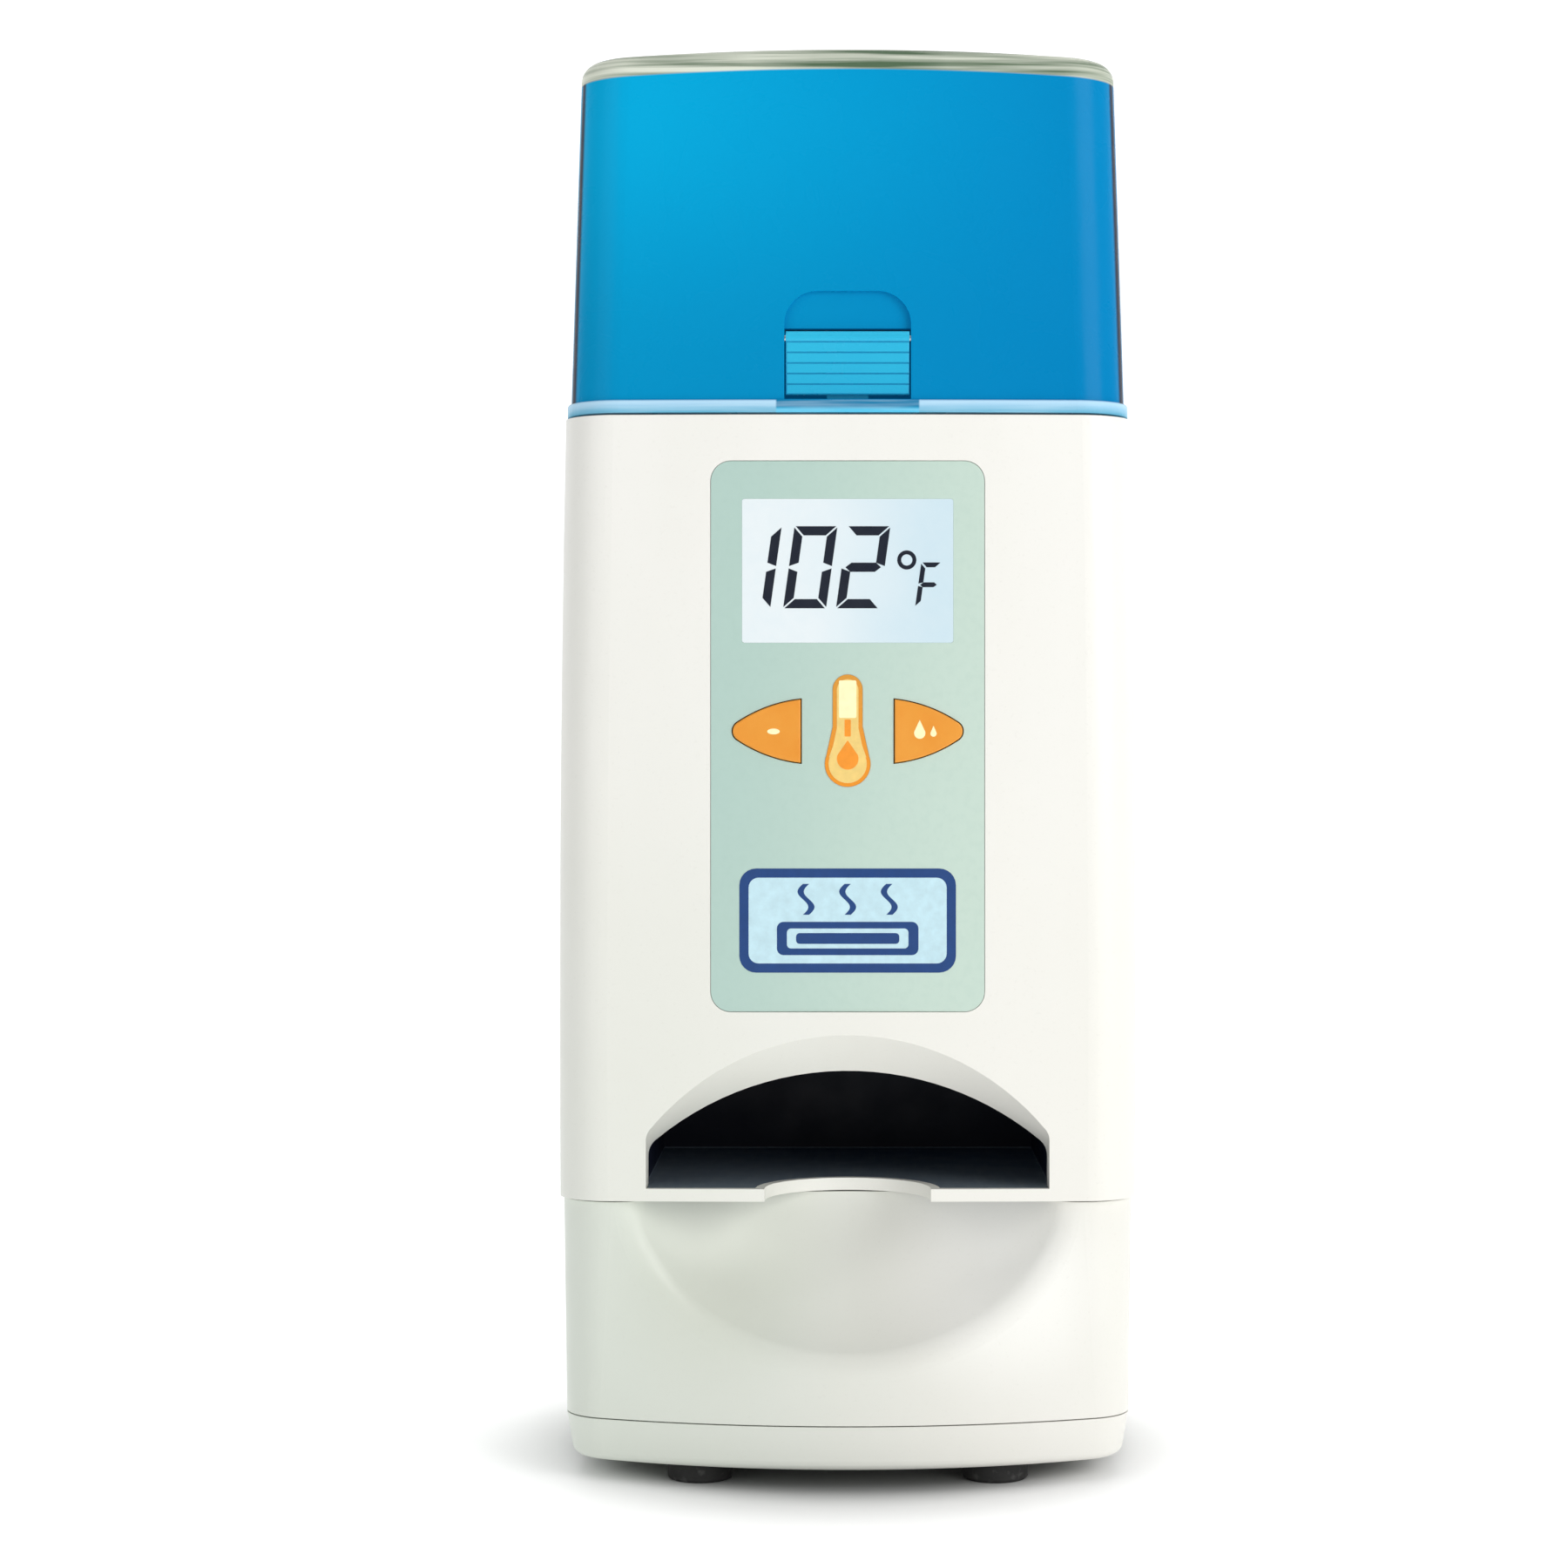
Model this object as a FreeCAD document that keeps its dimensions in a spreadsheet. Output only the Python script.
import FreeCAD, Part
import math
import os
import re

import Sketcher
from FreeCAD import Placement, Rotation, Vector

# Countertop warmer and dispenser for single-use gel packets.
#
# Flat packets are loaded under a hinged blue hopper lid, sink through a heated aluminium magazine
# and are drawn out one at a time through an arched mouth above the base.
# Frame: millimetres, +Z up, front towards -Y, origin on the table under the middle of the outline.

# ---------------------------------------------------------------- driving dimensions
SIZES = {
    # levels, from the table up
    "foot_gap": 5.0,
    "pan_seam": 16.0,
    "base_top": 68.6,
    "housing_bottom": 69.0,
    "housing_middle": 190.0,
    "housing_top": 258.0,
    "lid_bottom": 258.6,
    "lid_shoulder": 341.0,
    "lid_peak": 348.7,
    # half widths of the outline at those levels
    "pan_half": 67.4,
    "seam_half": 68.9,
    "base_half": 69.4,
    "housing_half_low": 70.2,
    "housing_half_mid": 69.9,
    "housing_half_high": 68.8,
    "lid_half_low": 67.7,
    "lid_half_high": 65.3,
    # distance of the front and rear faces from the middle
    "pan_front": 58.4,
    "seam_front": 59.0,
    "base_front": 53.4,
    "housing_front": 54.7,
    "lid_front_low": 53.6,
    "lid_front_high": 51.0,
    "housing_rear": 54.5,
    "lid_rear_low": 53.4,
    "lid_rear_high": 51.0,
    # plan radii
    "pan_bow": 150.0,
    "seam_bow": 185.0,
    "flat_bow": 1500.0,
    "front_corner": 13.0,
    "rear_corner": 12.0,
    "crown_radius": 850.0,
    "crown_edge": 4.5,
    # shells
    "wall": 2.5,
    "lid_wall": 2.2,
    "split_at": 14.0,
    "split_gap": 0.4,
    "tongue": 1.4,
    "pan_edge": 2.5,
    # mouth, brow and scoop
    "mouth_half": 48.5,
    "mouth_floor": 72.0,
    "mouth_top": 99.5,
    "mouth_arc": 75.0,
    "mouth_corner": 5.0,
    "mouth_depth": 10.4,
    "brow_top": 109.0,
    "brow_arc": 61.0,
    "brow_corner": 4.0,
    "notch_half": 20.0,
    "notch_depth": 22.0,
    "notch_rim": 2.2,
    "scoop_reach": 21.0,
    "scoop_ahead": 42.0,
    "scoop_across": 72.5,
    "scoop_tall": 47.6,
    "scoop_soft": 8.0,
    # packet magazine
    "bay_half": 49.0,
    "bay_front": 36.0,
    "bay_rear": 30.0,
    "sheet_metal": 1.5,
    "magazine_low": 100.5,
    "magazine_high": 247.0,
    "hopper_high": 300.0,
    "mat_thick": 1.0,
    "foam_thick": 4.0,
    # control panel
    "panel_half": 33.0,
    "panel_low": 114.5,
    "panel_high": 247.0,
    "panel_corner": 5.0,
    "panel_face": 54.3,
    "panel_sheet": 0.6,
    "window_half": 25.4,
    "window_low": 203.2,
    "window_high": 237.8,
    "key_level": 182.0,
    "key_near": 11.3,
    "key_far": 27.6,
    "key_half": 7.6,
    "key_tip": 2.4,
    "key_side": 34.0,
    "key_gap": 0.3,
    "key_proud": 0.5,
    "stem_half": 3.6,
    "stem_top": 195.6,
    "bulb_radius": 5.5,
    "bulb_level": 174.1,
    "board_face": 45.0,
    "board_thick": 1.6,
    # lid hinge and latch
    "hinge_back": 55.9,
    "hinge_level": 261.5,
    "knuckle_radius": 3.1,
    "hinge_pin_radius": 1.25,
    "latch_half": 14.9,
    "latch_low": 263.1,
    "latch_high": 278.7,
    "latch_pin_level": 276.7,
    "latch_pin_front": 51.5,
    "latch_pin_radius": 0.9,
    "recess_half": 15.25,
    "recess_top": 288.0,
    "recess_floor": 51.4,
    "recess_back": 46.0,
    # feet and fasteners
    "foot_radius": 8.0,
    "foot_x": 36.0,
    "foot_y": 41.0,
    "post_x": 61.2,
    "post_low": 92.0,
    "post_high": 238.0,
    "deck_post_x": 62.4,
    "deck_post_y": 36.0,
    "thread_radius": 1.5,
    # rear fittings, in the base
    "inlet_x": -24.0,
    "switch_x": 26.0,
    "fitting_level": 38.0,
}
RUNNING_GAP = 0.05
ROCKER_TILT = 7
WORD = re.compile(r"[a-z_][a-z_0-9]*")

doc = FreeCAD.newDocument("packet_warmer")
sheet = doc.addObject("Spreadsheet::Sheet", "Sizes")
for row, (alias, value) in enumerate(SIZES.items(), start=1):
    sheet.set(f"A{row}", alias)
    sheet.set(f"B{row}", str(value))
    sheet.setAlias(f"B{row}", alias)
sums = doc.addObject("Spreadsheet::Sheet", "Sums")
doc.recompute()

pieces = []


# ---------------------------------------------------------------- helpers
def formula(text):
    """A formula written with bare cell names, as FreeCAD reads it."""
    return WORD.sub(lambda m: ("Sizes." if m.group() in SIZES else "") + m.group(), str(text))


def number(text):
    """The value of such a formula now, worked out in a spare cell."""
    sums.set("A1", "=" + formula(text))
    sums.recompute()
    return float(sums.get("A1"))


def bind(obj, **properties):
    for name, text in properties.items():
        obj.setExpression(name, formula(text))


def place(obj, at, rotation=None):
    if rotation is not None:
        obj.Placement = Placement(Vector(), rotation)
    for axis, text in zip("xyz", at):
        obj.setExpression("Placement.Base." + axis, formula(text))


def box(name, low, high):
    """A block between two corners."""
    obj = doc.addObject("Part::Box", name)
    spans = [f"({b}) - ({a})" for a, b in zip(low, high)]
    bind(obj, Length=spans[0], Width=spans[1], Height=spans[2])
    place(obj, low)
    return obj


def cylinder(name, start, axis, radius, length):
    """A cylinder from its start point along +X, +Y or +Z."""
    turn = {"X": Rotation(Vector(0, 1, 0), 90), "Y": Rotation(Vector(1, 0, 0), -90), "Z": Rotation()}
    obj = doc.addObject("Part::Cylinder", name)
    bind(obj, Radius=radius, Height=length)
    place(obj, start, turn[axis])
    return obj


def fuse(name, *parts):
    obj = doc.addObject("Part::MultiFuse", name)
    obj.Shapes = list(parts)
    return obj


def common(name, *parts):
    obj = doc.addObject("Part::MultiCommon", name)
    obj.Shapes = list(parts)
    return obj


def cut(name, base, *tools):
    obj = doc.addObject("Part::Cut", name)
    obj.Base = base
    obj.Tool = tools[0] if len(tools) == 1 else fuse(name + "_tools", *tools)
    return obj


def group(name, parts):
    """Separate solids kept as one node."""
    obj = doc.addObject("Part::Compound", name)
    obj.Links = list(parts)
    return obj


def rounded(name, base, radius, wanted):
    """Base with the edges that wanted(edge) picks rounded to radius."""
    doc.recompute()
    numbers = [n for n, edge in enumerate(base.Shape.Edges, start=1) if wanted(edge)]
    if not numbers:
        raise RuntimeError(f"{name}: no edge to round")
    obj = doc.addObject("Part::Fillet", name)
    obj.Base = base
    obj.Edges = [(n, radius, radius) for n in numbers]
    return obj


def along(edge, axis):
    """True for a straight edge parallel to an axis."""
    if edge.Curve.TypeId != "Part::GeomLine":
        return False
    return abs(abs(edge.tangentAt(edge.FirstParameter).dot(axis)) - 1) < 1e-6


def piece(obj, label):
    """Obj is one finished sub-part, and its label names its file."""
    obj.Label = label
    pieces.append(obj)
    return obj


X_AXIS, Y_AXIS, Z_AXIS = Vector(1, 0, 0), Vector(0, 1, 0), Vector(0, 0, 1)
UPRIGHT = Rotation(X_AXIS, 90)  # a sketch's X stays X and its Y becomes Z
SIDEWAYS = Rotation(Vector(1, 1, 1), 120)  # a sketch's X becomes Y and its Y becomes Z


def new_sketch(name, at, rotation=None):
    sketch = doc.addObject("Sketcher::SketchObject", name)
    place(sketch, at, rotation or Rotation())
    return sketch


def arc(centre, radius, start_deg, end_deg):
    circle = Part.Circle(Vector(*centre, 0), Z_AXIS, radius)
    return Part.ArcOfCircle(circle, math.radians(start_deg), math.radians(end_deg))


def line(a, b):
    return Part.LineSegment(Vector(*a, 0), Vector(*b, 0))


def join(sketch, smooth, sharp=()):
    """Ties each listed geometry's end to the next one's start."""
    count = sketch.GeometryCount
    for i in smooth:
        sketch.addConstraint(Sketcher.Constraint("Tangent", i, 2, (i + 1) % count, 1))
    for i in sharp:
        sketch.addConstraint(Sketcher.Constraint("Coincident", i, 2, (i + 1) % count, 1))


def drive(sketch, name, text, *args):
    """A dimension of the sketch, bound to the sheet."""
    index = sketch.addConstraint(Sketcher.Constraint(*args, number(text)))
    sketch.renameConstraint(index, name)
    sketch.setExpression("Constraints." + name, formula(text))


def solved(sketch):
    if sketch.solve() != 0:
        raise RuntimeError(f"sketch {sketch.Name} doesn't solve")
    return sketch


def outline(name, level, half, front, rear, bow, inset="0"):
    """Plan outline: bowed front, flat sides and rear, four tangent corners, moved in by inset."""
    w, r = number(f"{half} - ({inset})"), number(f"{bow} - ({inset})")
    front_y, rear_y = -number(f"{front} - ({inset})"), number(f"{rear} - ({inset})")
    rf, rb = number(f"front_corner - ({inset})"), number(f"rear_corner - ({inset})")
    bow_y = front_y + r
    corner_y = bow_y - math.sqrt((r - rf) ** 2 - (w - rf) ** 2)
    spread = math.degrees(math.asin((w - rf) / (r - rf)))
    sketch = new_sketch(name, ("0", "0", level))
    for shape in (
        arc((0, bow_y), r, 270 - spread, 270 + spread),
        arc((w - rf, corner_y), rf, 270 + spread, 360),
        line((w, corner_y), (w, rear_y - rb)),
        arc((w - rb, rear_y - rb), rb, 0, 90),
        line((w - rb, rear_y), (rb - w, rear_y)),
        arc((rb - w, rear_y - rb), rb, 90, 180),
        line((-w, rear_y - rb), (-w, corner_y)),
        arc((rf - w, corner_y), rf, 180, 270 - spread),
    ):
        sketch.addGeometry(shape)
    join(sketch, range(8))
    for i in (2, 6):
        sketch.addConstraint(Sketcher.Constraint("Vertical", i))
    sketch.addConstraint(Sketcher.Constraint("Horizontal", 4))
    sketch.addConstraint(Sketcher.Constraint("Equal", 1, 7))
    sketch.addConstraint(Sketcher.Constraint("Equal", 3, 5))
    sketch.addConstraint(Sketcher.Constraint("PointOnObject", 0, 3, -2))
    drive(sketch, "bow", f"{bow} - ({inset})", "Radius", 0)
    drive(sketch, "front_corner", f"front_corner - ({inset})", "Radius", 1)
    drive(sketch, "rear_corner", f"rear_corner - ({inset})", "Radius", 3)
    drive(sketch, "half_width", f"{half} - ({inset})", "DistanceX", -1, 1, 2, 1)
    drive(sketch, "width", f"2 * ({half} - ({inset}))", "DistanceX", 6, 2, 2, 1)
    drive(sketch, "bow_centre", f"{bow} - {front}", "DistanceY", -1, 1, 0, 3)
    drive(sketch, "rear", f"{rear} - ({inset})", "DistanceY", -1, 1, 4, 1)
    return solved(sketch)


def mouth_profile(name, front, half, floor, top, arch, corner):
    """Upright outline of the mouth: flat floor, straight sides and an arched top, at y = -front."""
    w, rc, r = number(half), number(corner), number(arch)
    floor_z, arch_z = number(floor), number(f"{top} - {arch}")
    side_z = arch_z + math.sqrt((r - rc) ** 2 - (w - rc) ** 2)
    spread = math.degrees(math.acos((w - rc) / (r - rc)))
    sketch = new_sketch(name, ("0", f"-({front})", "0"), UPRIGHT)
    for shape in (
        line((-w, floor_z), (w, floor_z)),
        line((w, floor_z), (w, side_z)),
        arc((w - rc, side_z), rc, 0, spread),
        arc((0, arch_z), r, spread, 180 - spread),
        arc((rc - w, side_z), rc, 180 - spread, 180),
        line((-w, side_z), (-w, floor_z)),
    ):
        sketch.addGeometry(shape)
    join(sketch, (1, 2, 3, 4), (0, 5))
    sketch.addConstraint(Sketcher.Constraint("Horizontal", 0))
    for i in (1, 5):
        sketch.addConstraint(Sketcher.Constraint("Vertical", i))
    sketch.addConstraint(Sketcher.Constraint("Equal", 2, 4))
    sketch.addConstraint(Sketcher.Constraint("PointOnObject", 3, 3, -2))
    drive(sketch, "corner", corner, "Radius", 2)
    drive(sketch, "arch", arch, "Radius", 3)
    drive(sketch, "half_width", half, "DistanceX", -1, 1, 0, 2)
    drive(sketch, "width", f"2 * ({half})", "DistanceX", 0, 1, 0, 2)
    drive(sketch, "floor", floor, "DistanceY", -1, 1, 0, 1)
    drive(sketch, "arch_centre", f"{top} - ({arch})", "DistanceY", -1, 1, 3, 3)
    return solved(sketch)


def loft(name, *sections):
    """A solid through its sections: flat between two, smooth through three."""
    obj = doc.addObject("Part::Loft", name)
    obj.Sections = list(sections)
    obj.Solid = True
    obj.Ruled = len(sections) == 2
    return obj


def extrude(name, sketch, length):
    """A solid from a sketch along its normal."""
    obj = doc.addObject("Part::Extrusion", name)
    obj.Base = sketch
    obj.DirMode = "Normal"
    obj.Solid = True
    bind(obj, LengthFwd=length)
    return obj


def polygon(name, at, rotation, points):
    """A straight-sided sketch. Each point is a pair of formulas, and each is bound to the sheet."""
    sketch = new_sketch(name, at, rotation)
    places = [(number(a), number(b)) for a, b in points]
    for a, b in zip(places, places[1:] + places[:1]):
        sketch.addGeometry(line(a, b))
    join(sketch, (), range(len(points)))
    for i, (a, b) in enumerate(points):
        for kind, text in (("DistanceX", a), ("DistanceY", b)):
            value = number(text)
            ends = (-1, 1, i, 1) if value >= 0 else (i, 1, -1, 1)
            drive(sketch, f"{kind[-1].lower()}{i}", text if value >= 0 else f"-({text})", kind, *ends)
    return solved(sketch)


def plate(name, half, low, high, corner, face, thick):
    """An upright sheet with round corners. Its front is at y = -face, and thick runs to the rear."""
    w, c = number(half), number(corner)
    z0, z1 = number(low), number(high)
    sketch = new_sketch(name + "_outline", ("0", f"({thick}) - ({face})", "0"), UPRIGHT)
    for shape in (
        line((c - w, z0), (w - c, z0)),
        arc((w - c, z0 + c), c, 270, 360),
        line((w, z0 + c), (w, z1 - c)),
        arc((w - c, z1 - c), c, 0, 90),
        line((w - c, z1), (c - w, z1)),
        arc((c - w, z1 - c), c, 90, 180),
        line((-w, z1 - c), (-w, z0 + c)),
        arc((c - w, z0 + c), c, 180, 270),
    ):
        sketch.addGeometry(shape)
    join(sketch, range(8))
    for i in (0, 4):
        sketch.addConstraint(Sketcher.Constraint("Horizontal", i))
    for i in (2, 6):
        sketch.addConstraint(Sketcher.Constraint("Vertical", i))
    for i in (3, 5, 7):
        sketch.addConstraint(Sketcher.Constraint("Equal", 1, i))
    drive(sketch, "corner", corner, "Radius", 1)
    drive(sketch, "half_width", half, "DistanceX", -1, 1, 2, 1)
    drive(sketch, "width", f"2 * ({half})", "DistanceX", 6, 1, 2, 1)
    drive(sketch, "low", low, "DistanceY", -1, 1, 0, 1)
    drive(sketch, "high", high, "DistanceY", -1, 1, 4, 1)
    return extrude(name, solved(sketch), thick)


# ---------------------------------------------------------------- shells
def housing_block(name, inset, low="housing_bottom", high="housing_top"):
    """The upper housing's barrel shape, moved in by inset."""
    levels = ((low, "housing_half_low"), ("housing_middle", "housing_half_mid"), (high, "housing_half_high"))
    return loft(
        name,
        *[
            outline(f"{name}_{i}", level, half, "housing_front", "housing_rear", "flat_bow", inset)
            for i, (level, half) in enumerate(levels)
        ],
    )


def post(name, x, y, low, high, radius, bore, web=0):
    """An upright screw post with its bore cut from the bottom, and a web out to the wall on side web."""
    body = cylinder(name + "_post", (x, y, low), "Z", radius, f"({high}) - ({low})")
    if web:
        edges = (x, f"({x}) + {7 * web}")
        left, right = edges if web > 0 else reversed(edges)
        body = fuse(name + "_webbed", body,
                    box(name + "_web", (left, f"({y}) - 2", low), (right, f"({y}) + 2", high)))
    hole = cylinder(name + "_bore", (x, y, f"{low} - 1"), "Z", bore, f"({high}) - ({low}) - 3")
    return cut(name, body, hole)


def screw_tower(name, x, level, front, rear, radius):
    """A horizontal screw post along Y."""
    return cylinder(name, (x, front, level), "Y", radius, f"({rear}) - ({front})")


def screw_places():
    """The four housing screws, as (x, level) formulas."""
    return [(side + "post_x", level) for side in ("-", "") for level in ("post_low", "post_high")]


def make_front_housing():
    shell = cut(
        "front_shell_whole",
        housing_block("front_outer", "0"),
        housing_block("front_inner", "wall", "housing_bottom - 1", "housing_top - wall"),
    )
    shell = cut("front_shell", shell, box("behind_split", ("-90", "split_at", "60"), ("90", "90", "270")))
    sleeve = loft(
        "brow_sleeve",
        mouth_profile("sleeve_front", "housing_front - 1", "mouth_half + 2", "housing_bottom",
                      "brow_top + 1.8", "brow_arc + 2", "brow_corner + 2"),
        mouth_profile("sleeve_back", "housing_front - mouth_depth", "mouth_half + 2", "housing_bottom",
                      "mouth_top + 2", "mouth_arc + 2", "mouth_corner + 2"),
    )
    funnel = loft(
        "brow_funnel",
        mouth_profile("funnel_front", "housing_front + 1", "mouth_half", "mouth_floor",
                      "brow_top + 0.9", "brow_arc", "brow_corner"),
        mouth_profile("funnel_back", "housing_front - mouth_depth - 1", "mouth_half", "mouth_floor",
                      "mouth_top - 0.9", "mouth_arc", "mouth_corner"),
    )
    towers = [
        screw_tower(f"front_tower_{i}", x, level, "1 - housing_front", "split_at", "3.4")
        for i, (x, level) in enumerate(screw_places())
    ]
    tower_bores = [
        screw_tower(f"front_tower_bore_{i}", x, level, "split_at - 14", "split_at + 1", "thread_radius")
        for i, (x, level) in enumerate(screw_places())
    ]
    bosses = [screw_tower(f"board_boss_{i}", x, level, "-53", "-board_face", "2.6")
              for i, (x, level) in enumerate(board_screws())]
    boss_bores = [screw_tower(f"board_boss_bore_{i}", x, level, "-board_face - 6", "-board_face + 1", "1")
                  for i, (x, level) in enumerate(board_screws())]
    deck_posts = [
        post(f"front_deck_post_{i}", side + "deck_post_x", "-deck_post_y", "base_top", "base_top + 18", "3.6",
             "thread_radius", web)
        for i, (side, web) in enumerate((("-", -1), ("", 1)))
    ]
    inside = common(
        "front_posts", fuse("front_post_set", *towers, *deck_posts),
        housing_block("front_post_limit", "1", "housing_bottom - 2", "housing_top"),
    )
    floor_gap = cut(
        "floor_gap",
        box("floor_gap_block", ("-mouth_half", "wall - housing_front", "60"),
            ("mouth_half", "0", "mouth_floor")),
        notch_block("notch_rim", "50", "mouth_floor + 5", "notch_rim"),
    )
    rim = common(
        "notch_rim_part", notch_block("notch_rim_block", "housing_bottom", "mouth_floor", "notch_rim"),
        box("notch_rim_zone", ("-30", "wall - housing_front - 1", "housing_bottom"),
            ("30", "-20", "mouth_floor")),
    )
    body = cut(
        "front_body",
        fuse("front_filled", shell, sleeve, inside, rim, *bosses),
        funnel,
        floor_gap,
        notch_block("front_notch", "60", "mouth_floor + 0.01"),
        plate("panel_recess", "panel_half", "panel_low", "panel_high", "panel_corner", "housing_front + 5",
              "housing_front + 5 - panel_face + panel_sheet"),
        plate("window_hole", "window_half + 1", "window_low - 1", "window_high + 1", "2", "60", "12"),
        key_block("left_key_hole", "-1", "key_gap", "60", "12"),
        key_block("right_key_hole", "1", "key_gap", "60", "12"),
        box("lamp_hole", ("-2.5", "-60", "bulb_level - 2"), ("2.5", "-48", "stem_top - 3")),
        hopper_hole("front_hopper_hole"),
        box("hook_slot", ("-6", "-51.3", "housing_top - 7"), ("6", "-45.4", "housing_top + 3")),
        seal_groove("front_groove"),
        *hopper_screw_bores("front"),
        *tower_bores,
        *boss_bores,
    )
    piece(body, "front_housing")


def notch_block(name, low, high, grown="0"):
    """The thumb notch: a slot with a round end, open to the front, moved out by grown."""
    end = "notch_depth - notch_half - housing_front"
    return fuse(
        name,
        cylinder(name + "_end", ("0", end, low), "Z", f"notch_half + {grown}", f"({high}) - ({low})"),
        box(name + "_way", (f"-notch_half - {grown}", "-70", low), (f"notch_half + {grown}", end, high)),
    )


def hopper_hole(name):
    """Opening of the top deck for the hopper sleeve."""
    return box(name, ("-bay_half - 2", "-bay_front - 2", "housing_top - 7"),
               ("bay_half + 2", "bay_rear + 2", "housing_top + 3"))


def seal_ring(name, low, high, outer, inner):
    """An upright band that follows the lid's foot, between two insets."""
    def wall(part, inset, bottom, top):
        return loft(name + part, *[
            outline(name + part + end, level, "lid_half_low", "lid_front_low", "lid_rear_low",
                    "flat_bow", inset)
            for end, level in (("_low", bottom), ("_high", top))
        ])
    return cut(name, wall("_outer", outer, low, high),
               wall("_inner", inner, f"({low}) - 1", f"({high}) + 1"))


def seal_groove(name):
    return seal_ring(name, "housing_top - 0.9", "housing_top + 2", "0.3", "2.1")


def make_rear_housing():
    shell = cut(
        "rear_shell_whole",
        housing_block("rear_outer", "0"),
        housing_block("rear_inner", "wall", "housing_bottom - 1", "housing_top - wall"),
    )
    shell = cut("rear_shell", shell,
                box("before_split", ("-90", "-90", "60"), ("90", "split_at + split_gap", "270")))
    tongue_start, tongue_end = "split_at - 3", "split_at + 4"
    tongue = common(
        "tongue_strips",
        cut("tongue_ring",
            fuse("tongue_outer",
                 common("tongue_root", housing_block("tongue_root_block", "wall - 0.2"),
                        box("tongue_root_zone", ("-90", "split_at + split_gap + 0.2", "73"),
                            ("90", tongue_end, "250"))),
                 housing_block("tongue_block", "wall + 0.2")),
            housing_block("tongue_inner", "wall + tongue", "housing_bottom - 1", "housing_top + 1")),
        box("tongue_zone", ("-90", tongue_start, "75"), ("90", tongue_end, "248")),
    )
    towers = [
        screw_tower(f"rear_tower_{i}", x, level, "split_at + split_gap", "housing_rear - 1", "4.6")
        for i, (x, level) in enumerate(screw_places())
    ]
    deck_posts = [
        post(f"rear_deck_post_{i}", side + "deck_post_x", "deck_post_y", "base_top", "base_top + 18", "3.6",
             "thread_radius", web)
        for i, (side, web) in enumerate((("-", -1), ("", 1)))
    ]
    inside = common(
        "rear_posts", fuse("rear_post_set", *towers, *deck_posts),
        housing_block("rear_post_limit", "1", "housing_bottom - 2", "housing_top"),
    )
    ears = [
        hinge_ear(f"housing_ear_{i}", start, "5.6")
        for i, start in enumerate(("-46", "-29.7", "24.1", "40.4"))
    ]
    counterbores = []
    for i, (x, level) in enumerate(screw_places()):
        counterbores.append(screw_tower(f"rear_counterbore_{i}", x, level, "split_at + 8", "90", "3.3"))
        counterbores.append(screw_tower(f"rear_clearance_{i}", x, level, "split_at - 5", "90", "1.7"))
    vents = [
        box(f"vent_{i}", ("-24", "housing_rear - 5", f"{level}"),
            ("24", "housing_rear + 5", f"{level} + 2.4"))
        for i, level in enumerate(range(196, 234, 6))
    ]
    body = cut(
        "rear_body",
        fuse("rear_filled", shell, tongue, inside, *ears),
        hopper_hole("rear_hopper_hole"),
        seal_groove("rear_groove"),
        cylinder("ear_bore", ("-60", "hinge_back", "hinge_level"), "X", "hinge_pin_radius", "120"),
        *hopper_screw_bores("rear"),
        *counterbores,
        *vents,
    )
    piece(body, "rear_housing")


def hinge_ear(name, start, width):
    """A knuckle behind the rear wall, with a gusset running down to the wall."""
    web = polygon(
        name + "_web", (start, "0", "0"), SIDEWAYS,
        [("housing_rear - 1.5", "housing_top - 13"), ("hinge_back + knuckle_radius", "housing_top + 0.5"),
         ("hinge_back + knuckle_radius", "hinge_level"), ("hinge_back - knuckle_radius", "hinge_level"),
         ("hinge_back - knuckle_radius", "housing_top"), ("housing_rear - 1.5", "housing_top - 1")],
    )
    return fuse(
        name,
        extrude(name + "_gusset", web, width),
        cylinder(name + "_knuckle", (start, "hinge_back", "hinge_level"), "X", "knuckle_radius", width),
    )


def base_block(name, inset, low="pan_seam", high="base_top"):
    return loft(
        name,
        outline(name + "_low", low, "seam_half", "seam_front", "housing_rear", "seam_bow", inset),
        outline(name + "_high", high, "base_half", "base_front", "housing_rear", "flat_bow", inset),
    )


def scoop_egg(name, extra):
    """The egg shape that hollows the base's front under the thumb notch."""
    egg = doc.addObject("Part::Ellipsoid", name)
    bind(egg, Radius1=f"scoop_tall + ({extra})", Radius2=f"scoop_across + ({extra})",
         Radius3=f"scoop_reach + scoop_ahead + ({extra})")
    place(egg, ("0", "-base_front - scoop_ahead", "base_top"))
    return egg


def base_screw_places():
    return [(sx + "56.4", y) for sx in ("-", "") for y in ("-31", "40.6")]


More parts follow.
